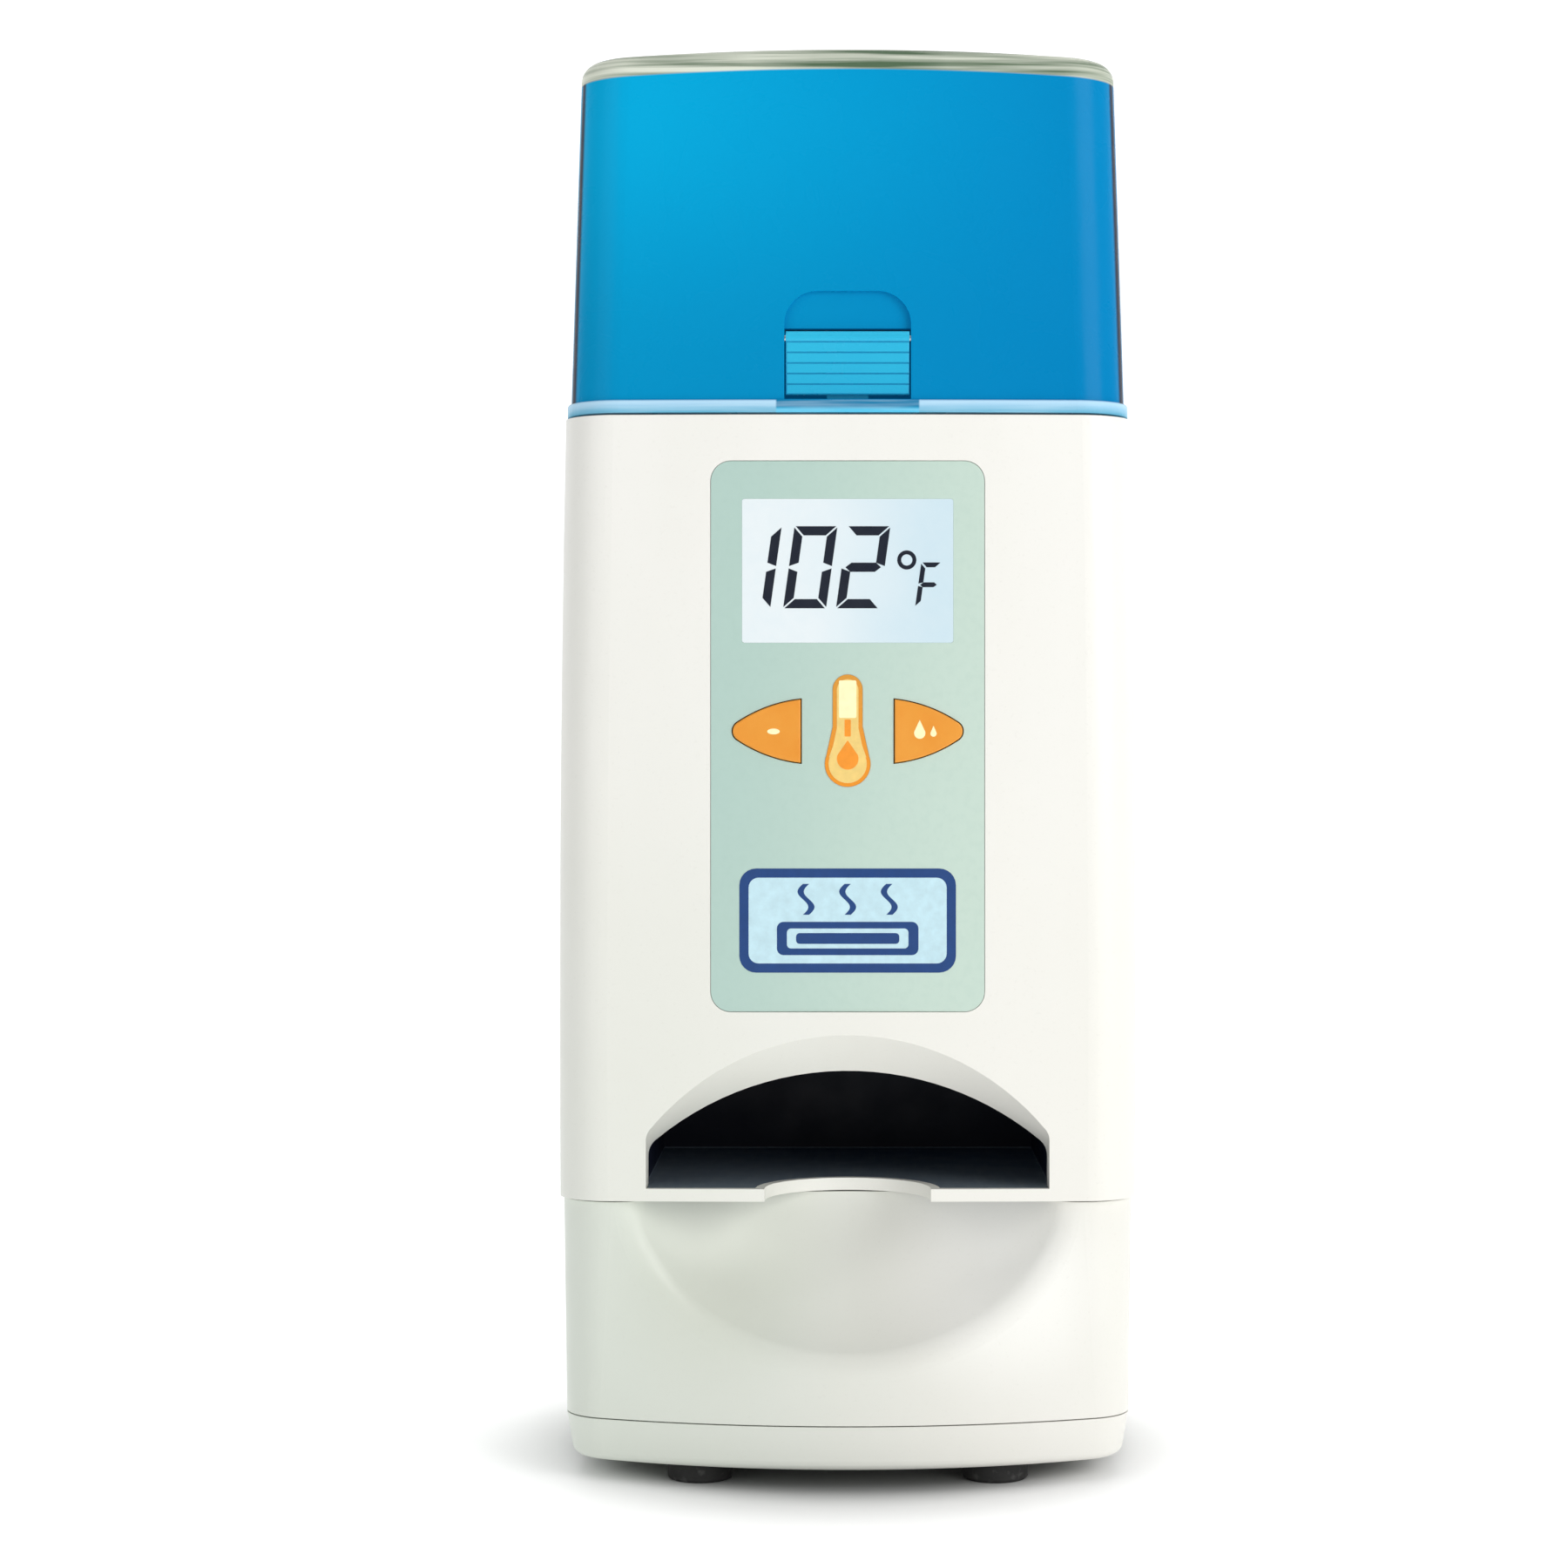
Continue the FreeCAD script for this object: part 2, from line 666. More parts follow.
def make_base():
    scooped = rounded(
        "base_scooped", cut("base_cut", base_block("base_outer", "0"), scoop_egg("scoop", "0")),
        SIZES["scoop_soft"],
        lambda edge: edge.BoundBox.YMax < -50 and 20 < edge.BoundBox.ZMin and edge.BoundBox.ZLength > 5
        and edge.BoundBox.XLength > 20,
    )
    hollow = common(
        "base_hollow_part",
        cut("base_hollow", base_block("base_inner", "wall", "pan_seam - 0.01", "base_top"),
            scoop_egg("scoop_back", "wall")),
        box("base_hollow_zone", ("-90", "-90", "0"), ("90", "90", "base_top - wall")),
    )
    shell = cut("base_shell", scooped, hollow)
    posts = [
        post(f"base_post_{i}", x, y, "pan_seam - 3", "base_top - 1", "3.8", "thread_radius")
        for i, (x, y) in enumerate(base_screw_places())
    ]
    holes = [
        cylinder(f"deck_hole_{i}", (sx + "deck_post_x", sy + "deck_post_y", "60"), "Z", "1.7", "20")
        for i, (sx, sy) in enumerate((a, b) for a in ("-", "") for b in ("-", ""))
    ]
    body = cut(
        "base_body",
        fuse("base_filled", shell, *posts),
        *holes,
        box("cable_slot_left", ("-60", "-12", "60"), ("-52.5", "24", "72")),
        box("cable_slot_right", ("52.5", "-12", "60"), ("60", "24", "72")),
        box("cable_slot_front", ("52.5", "-43", "60"), ("58.5", "-36.5", "72")),
        box("cable_slot_rear", ("-9", "32.5", "60"), ("9", "38", "72")),
        box("inlet_hole", ("inlet_x - 13.7", "45", "fitting_level - 10"),
            ("inlet_x + 13.7", "60", "fitting_level + 10")),
        box("switch_hole", ("switch_x - 9.6", "45", "fitting_level - 6.6"),
            ("switch_x + 9.6", "60", "fitting_level + 6.6")),
    )
    piece(body, "base_skirt")


def pan_block(name, inset, low, high):
    return loft(
        name,
        outline(name + "_low", low, "pan_half", "pan_front", "housing_rear - 1", "pan_bow", inset),
        outline(name + "_high", high, "seam_half", "seam_front", "housing_rear", "seam_bow", inset),
    )


def make_pan():
    outer = rounded(
        "pan_rounded", pan_block("pan_outer", "0", "foot_gap", "pan_seam - 0.3"), SIZES["pan_edge"],
        lambda edge: edge.BoundBox.ZMax < SIZES["foot_gap"] + 0.01,
    )
    rim = cut(
        "pan_rim",
        base_block("rim_outer", "wall + 0.3", "pan_seam - 1", "base_top"),
        base_block("rim_inner", "wall + tongue", "pan_seam - 1.01", "base_top + 0.01"),
    )
    shell = fuse(
        "pan_shell",
        cut("pan_open", outer, pan_block("pan_inner", "wall", "foot_gap + wall", "pan_seam + 1")),
        common("pan_rim_part", rim,
               box("rim_zone", ("-90", "-90", "pan_seam - 1"), ("90", "90", "pan_seam + 3"))),
        common("pan_ledge", cut("ledge_ring", pan_block("ledge_outer", "1", "foot_gap + 1", "pan_seam"),
                                pan_block("ledge_inner", "wall + tongue + 0.3", "foot_gap", "pan_seam + 1")),
               box("ledge_zone", ("-90", "-90", "pan_seam - 3"), ("90", "90", "pan_seam - 0.3"))),
    )
    screw_posts = [
        cylinder(f"pan_post_{i}", (x, y, "foot_gap + 1.6"), "Z", "4.4", "pan_seam - foot_gap - 4.6")
        for i, (x, y) in enumerate(base_screw_places())
    ]
    board_posts = [
        cylinder(f"board_post_{i}", (x, y, "foot_gap + 1.6"), "Z", "3", "pan_seam - foot_gap - 3.6")
        for i, (x, y) in enumerate(power_board_corners())
    ]
    holes = []
    for i, (x, y) in enumerate(base_screw_places()):
        holes.append(cylinder(f"pan_clearance_{i}", (x, y, "0"), "Z", "1.7", "30"))
        holes.append(cylinder(f"pan_counterbore_{i}", (x, y, "0"), "Z", "3.3", "foot_gap + 4"))
    for i, (x, y) in enumerate(power_board_corners()):
        holes.append(cylinder(f"board_post_bore_{i}", (x, y, "foot_gap + 3"), "Z", "1.1", "30"))
    for i, (x, y) in enumerate(foot_places()):
        holes.append(cylinder(f"foot_socket_{i}", (x, y, "0"), "Z", "foot_radius + 0.1", "foot_gap + 1"))
    for i, y in enumerate(range(-20, 24, 8)):
        holes.append(box(f"floor_vent_{i}", ("-22", f"{y} - 1.2", "0"),
                         ("22", f"{y} + 1.2", "foot_gap + wall + 1")))
    body = cut("pan_body", fuse("pan_filled", shell, *screw_posts, *board_posts), *holes)
    piece(body, "base_pan")


def foot_places():
    return [(sx + "foot_x", sy + "foot_y") for sx in ("-", "") for sy in ("-", "")]


def make_feet():
    feet = []
    for i, (x, y) in enumerate(foot_places()):
        block = cylinder(f"foot_block_{i}", (x, y, "0"), "Z", "foot_radius", "foot_gap + 1")
        cup = cylinder(f"foot_cup_{i}", (x, y, "-1"), "Z", "foot_radius - 3.5", "1.8")
        edge = rounded(f"foot_edge_{i}", block, 0.8, lambda e: e.BoundBox.ZMax < 0.01)
        feet.append(cut(f"foot_{i}", edge, cup))
    piece(group("feet", feet), "rubber_feet")


# ---------------------------------------------------------------- lid
def lid_block(name, inset):
    """The lid's tapered hood under its crown, moved in by inset, open level at the foot."""
    tall = "lid_peak + 20"
    rise = "(lid_peak + 20 - lid_bottom) / (lid_shoulder - lid_bottom)"

    def reach(low, high):
        return f"({low} + ({high} - {low}) * {rise})"

    bottom = "lid_bottom" if inset == "0" else "lid_bottom - 0.01"
    hood = loft(
        name + "_hood",
        outline(name + "_low", bottom, "lid_half_low", "lid_front_low", "lid_rear_low", "flat_bow", inset),
        outline(name + "_tall", tall, reach("lid_half_low", "lid_half_high"),
                reach("lid_front_low", "lid_front_high"), reach("lid_rear_low", "lid_rear_high"),
                "flat_bow", inset),
    )
    crown = doc.addObject("Part::Sphere", name + "_crown")
    bind(crown, Radius=f"crown_radius - ({inset})")
    place(crown, ("0", "0", "lid_peak - crown_radius"))
    top = "lid_peak - 12"
    radius = SIZES["crown_edge"] - (0 if inset == "0" else 2.0)
    return rounded(
        name, common(name + "_crowned", hood, crown), radius,
        lambda edge: edge.BoundBox.ZMin > number(top) and edge.BoundBox.ZMax - edge.BoundBox.ZMin < 8,
    )


def recess_block(name, half, top, floor, back, corner, low):
    """The finger recess: a shallow arch over a deeper well for the latch, open to the front."""
    sill = "latch_high + 0.4"
    arch = plate(name + "_arch", half, f"{sill} - {corner}", top, corner, "70", f"70 - ({floor})")
    well = box(name + "_well", (f"-({half})", "-70", low), (half, f"-({back})", sill))
    return fuse(name, arch, well)


def make_lid():
    flange = cut(
        "lid_flange",
        rounded("flange_soft",
                loft("flange_outer", *[
                    outline("flange_outer" + end, level, "lid_half_low", "lid_front_low", "lid_rear_low",
                            "flat_bow", "-0.8")
                    for end, level in (("_low", "lid_bottom"), ("_high", "lid_bottom + 3.2"))
                ]), 0.7, lambda edge: edge.BoundBox.ZMin > SIZES["lid_bottom"] + 3),
        loft("flange_inner", *[
            outline("flange_inner" + end, level, "lid_half_low", "lid_front_low", "lid_rear_low",
                    "flat_bow", "1")
            for end, level in (("_low", "lid_bottom - 1"), ("_high", "lid_bottom + 5"))
        ]),
    )
    hood = cut("lid_shell", lid_block("lid_outer", "0"), lid_block("lid_inner", "lid_wall"))
    pocket_wall = common(
        "pocket_wall",
        recess_block("pocket_outer", "recess_half + lid_wall", "recess_top + lid_wall",
                     "recess_floor - lid_wall", "recess_back - lid_wall", "9", "lid_bottom"),
        loft("pocket_limit", *[
            outline("pocket_limit" + end, level, "lid_half_low", front, "lid_rear_low", "flat_bow", "1")
            for end, level, front in (("_low", "lid_bottom", "lid_front_low"),
                                      ("_high", "lid_shoulder", "lid_front_high"))
        ]),
    )
    knuckles = [
        fuse(f"lid_knuckle_{i}",
             cylinder(f"lid_barrel_{i}", (start, "hinge_back", "hinge_level"), "X", "knuckle_radius", "9.6"),
             box(f"lid_web_{i}", (start, "lid_rear_low - 1.5", "lid_bottom"),
                 (f"{start} + 9.6", "hinge_back", "hinge_level + 1.6")))
        for i, start in enumerate(("-39.9", "30.3"))
    ]
    notches = [
        box(f"ear_notch_{i}", (start, "lid_rear_low - 4", "lid_bottom - 5"),
            (f"{start} + 6.4", "70", "hinge_level + 4.4"))
        for i, start in enumerate(("-46.4", "-30.1", "23.7", "40"))
    ]
    body = cut(
        "lid_body",
        fuse("lid_filled", hood, flange, pocket_wall, *knuckles),
        recess_block("recess", "recess_half", "recess_top", "recess_floor", "recess_back", "8",
                     "lid_bottom + 3.3"),
        box("arm_way", ("-recess_half", "-52.2", "lid_bottom - 3"),
            ("recess_half", "-recess_back", "lid_bottom + 4")),
        cylinder("lid_hinge_bore", ("-60", "hinge_back", "hinge_level"), "X",
                 f"hinge_pin_radius + {RUNNING_GAP}", "120"),
        cylinder("latch_pin_bore", ("-recess_half - 1.8", "-latch_pin_front", "latch_pin_level"), "X",
                 "latch_pin_radius", "2 * recess_half + 3.6"),
        *notches,
    )
    piece(body, "lid")


def make_hinge_pins():
    pins = [
        cylinder(f"hinge_pin_{i}", (start, "hinge_back", "hinge_level"), "X", "hinge_pin_radius", "21.9")
        for i, start in enumerate(("-46", "24.1"))
    ]
    piece(group("pins", pins), "hinge_pins")


def make_latch():
    """A ribbed thumb pad that turns on a pin at its top, with a hook arm that passes through the deck."""
    pad = rounded(
        "latch_pad",
        box("latch_plate", ("-latch_half", "-52.9", "latch_low"),
            ("latch_half", "-50.5", "latch_high - 0.4")),
        0.5, lambda edge: edge.BoundBox.YMax < -52.8,
    )
    grooves = [
        box(f"latch_groove_{i}", ("-latch_half - 1", "-53.5", f"latch_low + {2.2 + 2.55 * i}"),
            ("latch_half + 1", "-52.4", f"latch_low + {2.6 + 2.55 * i}"))
        for i in range(5)
    ]
    barrel = cylinder("latch_barrel", ("-latch_half", "-latch_pin_front", "latch_pin_level"), "X", "1.6",
                      "2 * latch_half")
    web = box("latch_web", ("-5", "-52.4", "latch_low + 0.2"), ("5", "-48.3", "latch_low + 2.2"))
    arm = box("latch_arm", ("-5", "-49.9", "housing_top - 4.8"), ("5", "-48.3", "latch_low + 1"))
    tooth = polygon("latch_tooth_outline", ("-5", "0", "0"), SIDEWAYS,
                    [("-50.9", "housing_top - 2.9"), ("-50.9", "housing_top - 3.5"),
                     ("-49.9", "housing_top - 5.1"), ("-48.3", "housing_top - 5.1"),
                     ("-48.3", "housing_top - 2.9")])
    body = cut(
        "latch_body",
        fuse("latch_filled", pad, barrel, web, arm, extrude("latch_tooth", tooth, "10")),
        cylinder("latch_bore", ("-20", "-latch_pin_front", "latch_pin_level"), "X",
                 f"latch_pin_radius + {RUNNING_GAP}", "40"),
        *grooves,
    )
    piece(body, "lid_latch")
    pin = cylinder("pin", ("-recess_half - 1.8", "-latch_pin_front", "latch_pin_level"), "X",
                   "latch_pin_radius", "2 * recess_half + 3.6")
    piece(pin, "latch_pin")
    half_ring = cut(
        "spring_half",
        cylinder("spring_outer", ("-4", "-48.25", "latch_low + 4.6"), "X", "2.25", "8"),
        cylinder("spring_inner", ("-5", "-48.25", "latch_low + 4.6"), "X", "1.95", "10"),
        box("spring_below", ("-9", "-60", "latch_low - 2"), ("9", "-40", "latch_low + 4.6")),
    )
    piece(half_ring, "latch_spring")
    strike = polygon("strike_outline", ("-5.5", "0", "0"), SIDEWAYS,
                     [("-51.3", "housing_top - 1"), ("-50.8", "housing_top - 1"),
                      ("-50.3", "housing_top - 2.1"), ("-50.3", "housing_top - 2.6"),
                      ("-51.3", "housing_top - 2.6")])
    piece(extrude("strike_body", strike, "11"), "latch_strike")


def make_seal():
    piece(seal_ring("seal", "housing_top - 0.9", "housing_top + 0.4", "0.4", "2"), "lid_seal")


# ---------------------------------------------------------------- packet path
def sleeve_walls(name, half, front, rear, thick, low, high, corner):
    """A rectangular tube with rounded outer corners."""
    outer = rounded(
        name + "_rounded",
        box(name + "_outer", (f"-({half}) - {thick}", f"-({front}) - {thick}", low),
            (f"{half} + {thick}", f"{rear} + {thick}", high)),
        corner, lambda edge: along(edge, Z_AXIS),
    )
    return cut(name, outer, box(name + "_bay", (f"-({half})", f"-({front})", f"({low}) - 1"),
                                (half, rear, f"({high}) + 1")))


def make_chute():
    front = "housing_front - mouth_depth - 0.2"
    bezel_back = f"1.6 - ({front})"
    walls = cut(
        "chute_tub",
        box("chute_block", ("-bay_half - 2", bezel_back, "mouth_floor - 2"),
            ("bay_half + 2", "bay_rear + 2", "magazine_low")),
        box("chute_bay", ("-bay_half", bezel_back, "mouth_floor"),
            ("bay_half", "bay_rear", "magazine_low + 5")),
    )
    bezel = cut(
        "chute_bezel",
        box("bezel_block", ("-bay_half - 2", f"-({front})", "mouth_floor - 2"),
            ("bay_half + 2", bezel_back, "magazine_low + 3.5")),
        loft("bezel_mouth",
             mouth_profile("bezel_mouth_front", "50", "mouth_half", "mouth_floor", "mouth_top", "mouth_arc",
                           "mouth_corner"),
             mouth_profile("bezel_mouth_back", "40", "mouth_half", "mouth_floor", "mouth_top", "mouth_arc",
                           "mouth_corner")),
    )
    tongue = box("floor_tongue", ("-mouth_half + 0.2", "wall - housing_front + 0.1", "mouth_floor - 2"),
                 ("mouth_half - 0.2", bezel_back, "mouth_floor"))
    ribs = [box(f"chute_rib_{i}", ("-46", y, "base_top"), ("46", f"{y} + 4", "mouth_floor - 1"))
            for i, y in enumerate(("-16", "22"))]
    body = cut("chute_body", fuse("chute_filled", walls, bezel, tongue, *ribs),
               notch_block("chute_notch", "60", "mouth_floor + 5", "notch_rim + 0.2"))
    piece(body, "dispensing_chute")


def make_magazine():
    tube = sleeve_walls("magazine_tube", "bay_half", "bay_front", "bay_rear", "sheet_metal", "magazine_low",
                        "magazine_high", 2.2)
    piece(tube, "heated_magazine")


def make_hopper():
    tube = sleeve_walls("hopper_tube", "bay_half", "bay_front", "bay_rear", "1.6", "magazine_high + 0.2",
                        "hopper_high", 2.4)
    flange = cut(
        "hopper_flange",
        rounded("flange_rounded",
                box("flange_block", ("-58", "-43", "housing_top"), ("58", "37", "housing_top + 1.6")),
                4.0, lambda edge: along(edge, Z_AXIS)),
        box("flange_bay", ("-bay_half - 1", "-bay_front - 1", "housing_top - 7"),
            ("bay_half + 1", "bay_rear + 1", "housing_top + 3")),
    )
    access = plate("hopper_access", "22", "268", "hopper_high + 30", "14", "60", "40")
    body = cut("hopper_body", fuse("hopper_filled", tube, flange), access, *[
        cylinder(f"hopper_screw_hole_{i}", (x, y, "housing_top - 7"), "Z", "1.3", "20")
        for i, (x, y) in enumerate(hopper_screw_places())
    ])
    piece(body, "hopper_sleeve")


def hopper_screw_places():
    return [(x, y) for x in ("-54.6", "54.6") for y in ("-38", "-3", "32")]


def hopper_screw_bores(name):
    return [cylinder(f"{name}_hopper_bore_{i}", (x, y, "housing_top - 7"), "Z", "1", "10")
            for i, (x, y) in enumerate(hopper_screw_places())]


def make_heater():
    for side, name in (("-1", "left"), ("1", "right")):
        inner, outer = f"{side} * (bay_half + sheet_metal)", f"{side} * (bay_half + sheet_metal + mat_thick)"
        far = f"{side} * (bay_half + sheet_metal + mat_thick + foam_thick)"
        low, high = (outer, inner) if side == "-1" else (inner, outer)
        piece(box(f"mat_{name}", (low, "-30", "106"), (high, "24", "240")), f"heater_mat_{name}")
        low, high = (far, outer) if side == "-1" else (outer, far)
        piece(box(f"foam_{name}", (low, "-34", "108"), (high, "28", "244")), f"insulation_{name}")
    rear = "bay_rear + sheet_metal"
    piece(box("mat_rear_block", ("-42", rear, "106"), ("42", f"{rear} + mat_thick", "240")),
          "heater_mat_rear")
    piece(box("foam_rear_block", ("-46", f"{rear} + mat_thick", "108"),
              ("46", f"{rear} + mat_thick + foam_thick", "244")), "insulation_rear")
    front = "-bay_front - sheet_metal"
    bead = fuse("sensor_body",
                box("sensor_tab", ("-24", f"{front} - 0.6", "146"), ("-16", front, "158")),
                cylinder("sensor_bead", ("-20", f"{front} - 1.4", "148"), "Z", "1.2", "8"))
    piece(bead, "temperature_sensor")
    fuse_body = fuse("cutoff_body",
                     box("cutoff_clip", ("14", f"{front} - 0.6", "147"), ("28", front, "153")),
                     cylinder("cutoff_can", ("15", f"{front} - 2.1", "150"), "X", "1.9", "12"))
    piece(fuse_body, "thermal_cutoff")


# ---------------------------------------------------------------- control panel
def key_profile(name, side, gap, face):
    """A rounded arrowhead pointing away from the middle: flat near edge, two bowed flanks, a round tip."""
    s = float(side)
    near, far = number(f"key_near - ({gap})"), number(f"key_far + ({gap})")
    half, tip = number(f"key_half + ({gap})"), number(f"key_tip + ({gap})")
    flank, level = number(f"key_side + ({gap})"), number("key_level")
    # the flank's circle passes through the near corner and touches the tip's circle from outside it
    tip_x = far - tip
    dx, dz = near - tip_x, half
    reach = math.hypot(dx, dz)
    inner = flank - tip
    turn = math.acos((reach ** 2 + inner ** 2 - flank ** 2) / (2 * reach * inner))
    heading = math.atan2(dz, dx) + turn
    cx, cz = tip_x + inner * math.cos(heading), inner * math.sin(heading)
    away = math.atan2(-cz, tip_x - cx)
    touch = (tip_x + tip * math.cos(away), tip * math.sin(away))
    start = math.atan2(half - cz, near - cx)
    middle = (away + start) / 2
    bend = (cx + flank * math.cos(middle), cz + flank * math.sin(middle))

    def at(x, z):
        return Vector(s * x, level + z, 0)

    sketch = new_sketch(name, ("0", f"-({face})", "0"), UPRIGHT)
    sketch.addGeometry(Part.LineSegment(at(near, half), at(near, -half)))
    sketch.addGeometry(Part.Arc(at(near, -half), at(bend[0], -bend[1]), at(touch[0], -touch[1])))
    sketch.addGeometry(Part.Arc(at(touch[0], -touch[1]), at(far, 0), at(*touch)))
    sketch.addGeometry(Part.Arc(at(*touch), at(*bend), at(near, half)))
    return sketch


def key_block(name, side, gap, face, depth):
    """The arrow shape from y = -face, depth long."""
    return extrude(name, key_profile(name + "_outline", side, gap, f"({face}) - ({depth})"), depth)


def make_keys():
    for side, name in (("-1", "decrease"), ("1", "increase")):
        cap = key_block(f"{name}_cap_block", side, "0", "panel_face + key_proud", "5.5")
        cap = rounded(f"{name}_cap_soft", cap, 0.35,
                      lambda edge: edge.BoundBox.YMax < -SIZES["panel_face"] - SIZES["key_proud"] + 0.01)
        flange = key_block(f"{name}_flange", side, "1.2", "52.0 - 0.65", "0.8")
        piece(fuse(f"{name}_key_body", cap, flange), f"{name}_button")
        x = f"{side} * 18"
        piece(cylinder(f"{name}_plunger_pin", (x, "-49.2", "key_level"), "Y", "1.6", "1.8"),
              f"{name}_plunger")
    bodies = []
    for i, side in enumerate(("-1", "1")):
        x = f"{side} * 18"
        block = box(f"tact_block_{i}", (f"{x} - 3", "-board_face - 3.5", "key_level - 3"),
                    (f"{x} + 3", "-board_face", "key_level + 3"))
        bodies.append(cut(f"tact_{i}", block,
                          cylinder(f"tact_bore_{i}", (x, "-49", "key_level"), "Y",
                                   f"1.6 + 2 * {RUNNING_GAP}", "2.8")))
    piece(group("tacts", bodies), "tact_switches")


def lamp_shape(name, gap, face, depth):
    """The thermometer shape: a round-topped stem that flares into a bulb."""
    back = f"({depth}) - ({face})"
    start = f"-({face})"
    top = "stem_top - stem_half"
    return fuse(
        name,
        box(name + "_stem", (f"-stem_half - ({gap})", start, "bulb_level"),
            (f"stem_half + ({gap})", back, top)),
        cylinder(name + "_top", ("0", start, top), "Y", f"stem_half + ({gap})", depth),
        cylinder(name + "_bulb", ("0", start, "bulb_level"), "Y", f"bulb_radius + ({gap})", depth),
        extrude(name + "_flare", polygon(
            name + "_flare_outline", ("0", back, "0"), UPRIGHT,
            [(f"-bulb_radius + 0.1 - ({gap})", "bulb_level + 0.8"),
             (f"bulb_radius - 0.1 + ({gap})", "bulb_level + 0.8"),
             (f"stem_half + ({gap})", "bulb_level + 9"),
             (f"-stem_half - ({gap})", "bulb_level + 9")]), depth),
    )


def make_panel():
    sheet_block = plate("overlay_sheet", "panel_half - 0.15", "panel_low + 0.15", "panel_high - 0.15",
                        "panel_corner - 0.15", "panel_face", "panel_sheet")
    body = cut(
        "overlay_body", sheet_block,
        plate("overlay_window", "window_half", "window_low", "window_high", "0.6", "60", "12"),
        key_block("overlay_left_hole", "-1", "key_gap", "60", "12"),
        key_block("overlay_right_hole", "1", "key_gap", "60", "12"),
        lamp_shape("overlay_lamp_hole", "0.02", "60", "12"),
    )
    piece(body, "keypad_overlay")
    piece(plate("window_sheet", "window_half - 0.03", "window_low + 0.03", "window_high - 0.03", "0.6",
                "panel_face", "panel_sheet"), "display_window")
    piece(lamp_shape("lamp_lens", "-0.03", "panel_face + 0.15", "panel_sheet + 0.15"), "heat_indicator_lens")


def make_display():
    face, back = "-51.7", "-board_face"
    piece(box("glass_block", ("-28", face, "201.7"), ("28", "-49.1", "239.3")), "lcd_glass")
    piece(box("backlight_block", ("-26.5", "-49.1", "205.2"), ("26.5", f"{back} - 0.2", "235.8")),
          "lcd_backlight")
    strips = [
        box(f"strip_{i}", ("-25", "-49.1", level), ("25", back, f"{level} + 2.4"))
        for i, level in enumerate(("202", "236.6"))
    ]
    piece(group("strips", strips), "contact_strips")
    frame = cut("frame_body",
                box("frame_block", ("-30.6", face, "199.4"), ("30.6", back, "241.6")),
                box("frame_hole", ("-28.1", "-60", "201.6"), ("28.1", "-40", "239.4")))
    piece(frame, "lcd_frame")
    board = cut(
        "board_body",
        box("board_block", ("-31.5", "-board_face", "119"), ("31.5", "board_thick - board_face", "244")),
        *[cylinder(f"board_hole_{i}", (x, "-60", level), "Y", "1.3", "30")
          for i, (x, level) in enumerate(board_screws())],
    )
    piece(board, "control_board")
    piece(cylinder("buzzer_can", ("-17", "-board_face - 5.5", "133"), "Y", "6", "5.5"), "buzzer")
    piece(box("controller_block", ("-7", "-board_face - 1.6", "150"), ("7", "-board_face", "164")),
          "controller_chip")
    piece(box("led_block", ("-1.6", "-board_face - 5.2", "bulb_level"),
              ("1.6", "-board_face", "bulb_level + 14")),
          "indicator_led")
    piece(box("socket_block", ("20", "board_thick - board_face", "165"),
              ("28", "board_thick - board_face + 3.8", "175")),
          "board_socket")


def board_screws():
    return [(x, level) for x in ("-28.5", "28.5") for level in ("122.5", "195.5")]


# ---------------------------------------------------------------- power section, in the base
def power_board_corners():
    return [(x, y) for x in ("-44", "44") for y in ("-40", "40")]


def make_power():
    top = "pan_seam - 2 + 1.6"
    board = cut(
        "power_board_body",
        box("power_board_block", ("-48", "-44", "pan_seam - 2"), ("48", "44", top)),
        *[cylinder(f"power_board_hole_{i}", (x, y, "0"), "Z", "1.3", "40")
          for i, (x, y) in enumerate(power_board_corners())],
    )
    piece(board, "power_board")
    core = box("core", ("-36", "-12", f"{top} + 3"), ("-6", "12", f"{top} + 23"))
    coil = box("coil", ("-30", "-16", top), ("-12", "16", f"{top} + 20"))
    piece(fuse("transformer_body", core, coil), "transformer")
    piece(box("relay_block", ("6", "-14", top), ("25", "1.5", f"{top} + 15.3")), "heater_relay")
    piece(cylinder("cap_can", ("36", "-6", top), "Z", "6.3", "20"), "smoothing_capacitor")
    clips = [
        cut(f"fuse_clip_{i}",
            box(f"fuse_clip_block_{i}", (x, "11.2", top), (f"{x} + 4", "18.8", f"{top} + 6.6")),
            cylinder(f"fuse_clip_bore_{i}", ("-20", "15", f"{top} + 5"), "X", "2.6", "80"))
        for i, x in enumerate(("10", "27"))
    ]
    piece(group("fuse_clips_set", clips), "fuse_clips")
    piece(cylinder("fuse_tube", ("10.5", "15", f"{top} + 5"), "X", "2.6", "20"), "mains_fuse")
    piece(box("terminal_box", ("-34", "26", top), ("-10", "35", f"{top} + 9")), "terminal_block")


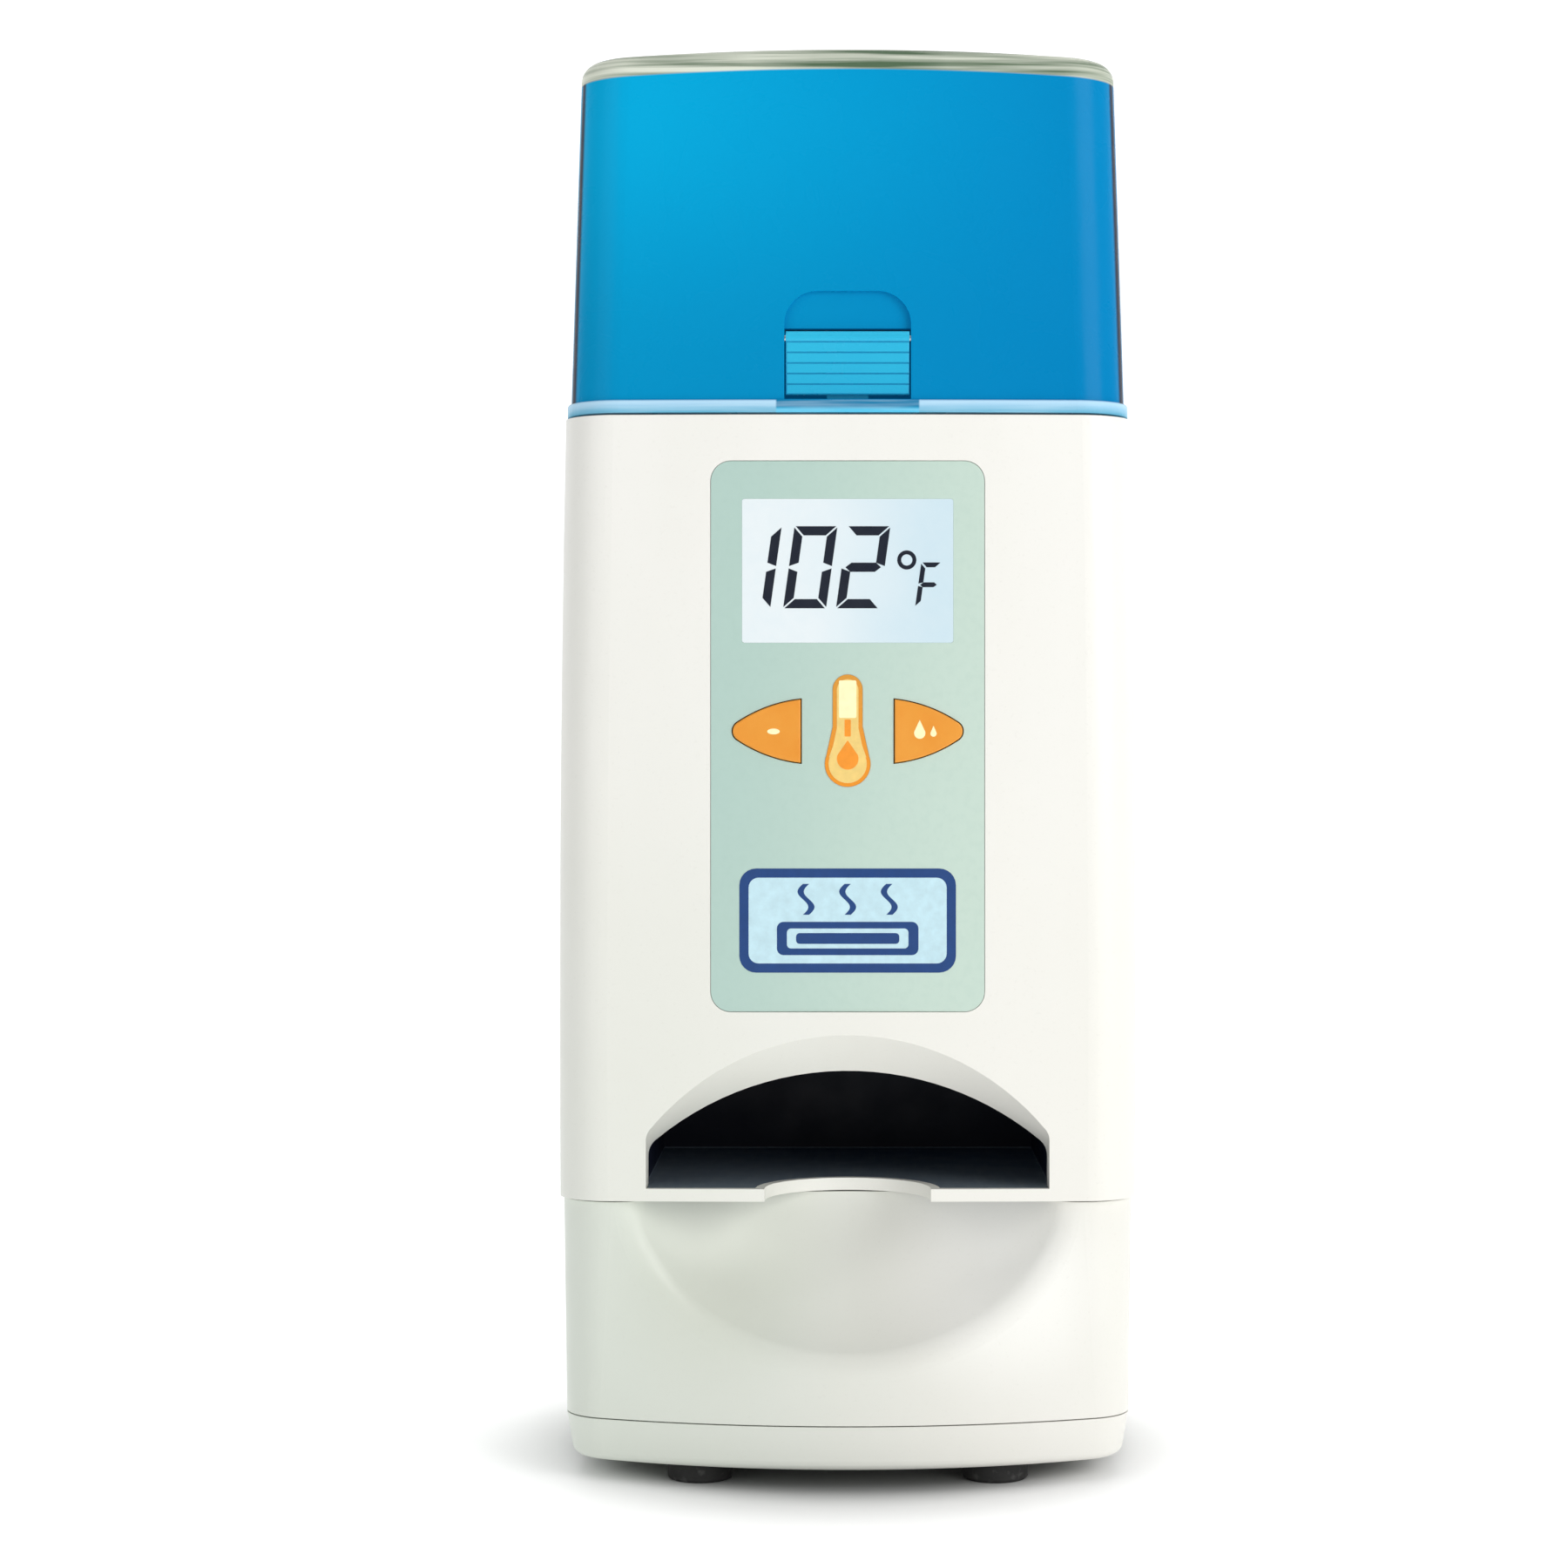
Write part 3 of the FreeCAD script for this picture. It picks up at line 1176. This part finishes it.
def make_inlet():
    """An appliance inlet with three pins, snapped into the rear wall of the base."""
    rear = "housing_rear"
    flange = rounded("inlet_flange",
                     box("inlet_flange_block", ("inlet_x - 15.4", rear, "fitting_level - 12"),
                         ("inlet_x + 15.4", f"{rear} + 2", "fitting_level + 12")),
                     1.2, lambda edge: along(edge, Y_AXIS))
    barrel = box("inlet_barrel", ("inlet_x - 13.5", "38", "fitting_level - 9.8"),
                 ("inlet_x + 13.5", f"{rear} + 1", "fitting_level + 9.8"))
    well = rounded("inlet_well",
                   box("inlet_well_block", ("inlet_x - 12", "41", "fitting_level - 8"),
                       ("inlet_x + 12", "70", "fitting_level + 8")),
                   3.0, lambda edge: along(edge, Y_AXIS) and edge.BoundBox.ZMin > SIZES["fitting_level"])
    pins = [
        box(f"inlet_pin_{i}", (f"inlet_x + {x} - 2", "34", f"fitting_level + {z} - 1"),
            (f"inlet_x + {x} + 2", "53", f"fitting_level + {z} + 1"))
        for i, (x, z) in enumerate(((-7, -2), (0, 2), (7, -2)))
    ]
    piece(cut("inlet_body", fuse("inlet_filled", flange, barrel), well, *pins), "power_inlet")
    piece(group("inlet_pin_set", pins), "inlet_pins")


def make_switch():
    """A rocker switch beside the inlet."""
    rear = "housing_rear"
    flange = rounded("switch_flange",
                     box("switch_flange_block", ("switch_x - 10.6", rear, "fitting_level - 7.6"),
                         ("switch_x + 10.6", f"{rear} + 1.6", "fitting_level + 7.6")),
                     0.8, lambda edge: along(edge, Y_AXIS))
    barrel = box("switch_barrel", ("switch_x - 9.5", "40", "fitting_level - 6.5"),
                 ("switch_x + 9.5", f"{rear} + 1", "fitting_level + 6.5"))
    well = box("switch_well", ("switch_x - 8.6", "48", "fitting_level - 5.6"),
               ("switch_x + 8.6", "70", "fitting_level + 5.6"))
    stub_bore = cylinder("stub_bore", ("switch_x", f"{rear} - 0.9", "fitting_level - 6.4"), "Z",
                         f"1 + {RUNNING_GAP}", "12.8")
    piece(cut("switch_body", fuse("switch_filled", flange, barrel), well, stub_bore), "switch_case")
    # the rocker turns about an upright line between its two stubs, and rests with its right half proud
    outline_points = [("-7.7", "2.2"), ("-7.3", "-0.8"), ("0", "-3.2"),
                      ("7.3", "-0.8"), ("7.7", "2.2"), ("0", "1.2")]
    face = polygon("rocker_outline", ("switch_x", f"{rear} - 0.9", "fitting_level - 5.3"),
                   Rotation(Z_AXIS, ROCKER_TILT), outline_points)
    stubs = cylinder("rocker_stubs", ("switch_x", f"{rear} - 0.9", "fitting_level - 6.3"), "Z", "1", "12.6")
    piece(fuse("rocker_body", extrude("rocker_block", face, "10.6"), stubs), "power_rocker")


# ---------------------------------------------------------------- fasteners
def screw(name, at, axis, length, radius="thread_radius", head_radius="2.9"):
    """A pan-head screw that points along axis from under its head, with a cross recess."""
    signs = {"+Y": (0, 1, 0), "-Y": (0, -1, 0), "+Z": (0, 0, 1), "-Z": (0, 0, -1)}
    turns = {"+Y": -90, "-Y": 90, "+Z": 0, "-Z": 180}
    turn = Rotation(X_AXIS, turns[axis])
    direction = signs[axis]
    shank = doc.addObject("Part::Cylinder", name + "_shank")
    bind(shank, Radius=radius, Height=length)
    place(shank, at, turn)
    head = doc.addObject("Part::Cylinder", name + "_head")
    bind(head, Radius=head_radius, Height="2")
    place(head, [f"{p} - ({2 * d})" for p, d in zip(at, direction)], turn)
    slots = []
    for part, (a, b) in enumerate((("2.8", "0.6"), ("0.6", "2.8"))):
        slot = doc.addObject("Part::Box", f"{name}_slot_{part}")
        bind(slot, Length=a, Width=b, Height="1.2")
        corner = turn.multVec(Vector(-float(a) / 2, -float(b) / 2, -2.2))
        place(slot, [f"{p} + ({c})" for p, c in zip(at, corner)], turn)
        slots.append(slot)
    return cut(name, fuse(name + "_blank", shank, head), *slots)


def make_screws():
    piece(group("housing_screw_set", [
        screw(f"housing_screw_{i}", (x, "split_at + 8", level), "-Y", "20")
        for i, (x, level) in enumerate(screw_places())
    ]), "housing_screws")
    piece(group("deck_screw_set", [
        screw(f"deck_screw_{i}", (sx + "deck_post_x", sy + "deck_post_y", "base_top - wall"), "+Z", "12")
        for i, (sx, sy) in enumerate((a, b) for a in ("-", "") for b in ("-", ""))
    ]), "deck_screws")
    piece(group("pan_screw_set", [
        screw(f"pan_screw_{i}", (x, y, "foot_gap + 4"), "+Z", "16")
        for i, (x, y) in enumerate(base_screw_places())
    ]), "base_screws")
    piece(group("board_screw_set", [
        screw(f"board_screw_{i}", (x, "board_thick - board_face", level), "-Y", "6", "1", "2")
        for i, (x, level) in enumerate(board_screws())
    ]), "control_board_screws")
    piece(group("power_screw_set", [
        screw(f"power_screw_{i}", (x, y, "pan_seam - 0.4"), "-Z", "7", "1.1", "2.2")
        for i, (x, y) in enumerate(power_board_corners())
    ]), "power_board_screws")
    piece(group("hopper_screw_set", [
        screw(f"hopper_screw_{i}", (x, y, "housing_top + 1.6"), "-Z", "5", "1", "2.2")
        for i, (x, y) in enumerate(hopper_screw_places())
    ]), "hopper_screws")


# ---------------------------------------------------------------- leads, held all the way
def lead(name, at, rotation, points, bend, radius):
    """A round lead through points in one plane, with an arc of radius bend at each inner point."""
    places = [Vector(a, b, 0) for a, b in points]
    path = new_sketch(name + "_path", at, rotation)
    start = places[0]
    for before, corner, after in zip(places, places[1:], places[2:]):
        back, onward = (before - corner).normalize(), (after - corner).normalize()
        half = math.acos(max(-1, min(1, back.dot(onward)))) / 2
        reach = bend / math.tan(half)
        middle = corner + (back + onward).normalize() * (bend / math.sin(half) - bend)
        path.addGeometry(Part.LineSegment(start, corner + back * reach))
        path.addGeometry(Part.Arc(corner + back * reach, middle, corner + onward * reach))
        start = corner + onward * reach
    path.addGeometry(Part.LineSegment(start, places[-1]))
    doc.recompute([path])
    edge = path.Shape.Wires[0].OrderedEdges[0]
    section = doc.addObject("Part::Circle", name + "_section")
    section.Radius = radius
    turn = Rotation(Z_AXIS, edge.tangentAt(edge.FirstParameter))
    section.Placement = Placement(edge.valueAt(edge.FirstParameter), turn)
    sweep = doc.addObject("Part::Sweep", name)
    sweep.Sections = [section]
    sweep.Spine = (path, [f"Edge{n + 1}" for n in range(len(path.Shape.Edges))])
    sweep.Solid = True
    sweep.Frenet = False
    return sweep


def make_leads():
    board_top = SIZES["pan_seam"] - 0.4
    side_run = [(52.35, 107.9), (52.35, 103), (56.5, 96), (56.5, 21), (45.5, 21), (45.5, board_top)]
    heater = [
        lead(f"heater_lead_{side}_{y}", ("0", y, "0"), UPRIGHT,
             [(side * x, z) for x, z in side_run], 1.6, 0.8)
        for side in (-1, 1) for y in ("2", "6")
    ]
    heater += [
        cylinder(f"rear_lead_{i}", (x, "bay_rear + sheet_metal + mat_thick + 0.85", f"{board_top}"), "Z",
                 "0.8",
                 f"107.9 - {board_top}")
        for i, x in enumerate(("-4", "4"))
    ]
    piece(group("heater_lead_set", heater), "heater_leads")
    mains = [
        lead(f"inlet_lead_{i}", (f"inlet_x + {x}", "0", "0"), SIDEWAYS,
             [(34, level), (30.5, level), (30.5, board_top + 9)], 2.0, 1.2)
        for i, (x, level) in enumerate(((-7, 36), (0, 40), (7, 36)))
    ]
    mains += [
        lead(f"switch_lead_{i}", (f"switch_x + {x}", "0", "0"), SIDEWAYS,
             [(40, 38), (33, 38), (33, board_top)], 3.0, 1.2)
        for i, x in enumerate((-4, 4))
    ]
    piece(group("mains_lead_set", mains), "mains_leads")
    cable = lead("cable", ("0", "-39.7", "0"), UPRIGHT,
                 [(28, 170), (55.2, 170), (55.2, 22), (40, 22), (40, board_top)], 3.0, 1.2)
    piece(cable, "display_cable")


def build_all():
    make_front_housing()
    make_rear_housing()
    make_base()
    make_pan()
    make_feet()
    make_lid()
    make_hinge_pins()
    make_latch()
    make_seal()
    make_chute()
    make_magazine()
    make_hopper()
    make_heater()
    make_keys()
    make_panel()
    make_display()
    make_power()
    make_inlet()
    make_switch()
    make_screws()
    make_leads()


def check_and_export():
    doc.recompute()
    failed = [o.Name for o in doc.Objects if {"Invalid", "Error"} & set(o.State)]
    if failed:
        raise RuntimeError(f"objects failed: {failed}")
    os.makedirs("parts", exist_ok=True)
    for old in os.listdir("parts"):
        os.remove(os.path.join("parts", old))
    for obj in pieces:
        if obj.Shape.isNull() or not obj.Shape.isValid():
            raise RuntimeError(f"{obj.Label} has no valid shape")
        obj.Shape.exportStep(os.path.join("parts", obj.Label + ".step"))


build_all()
check_and_export()
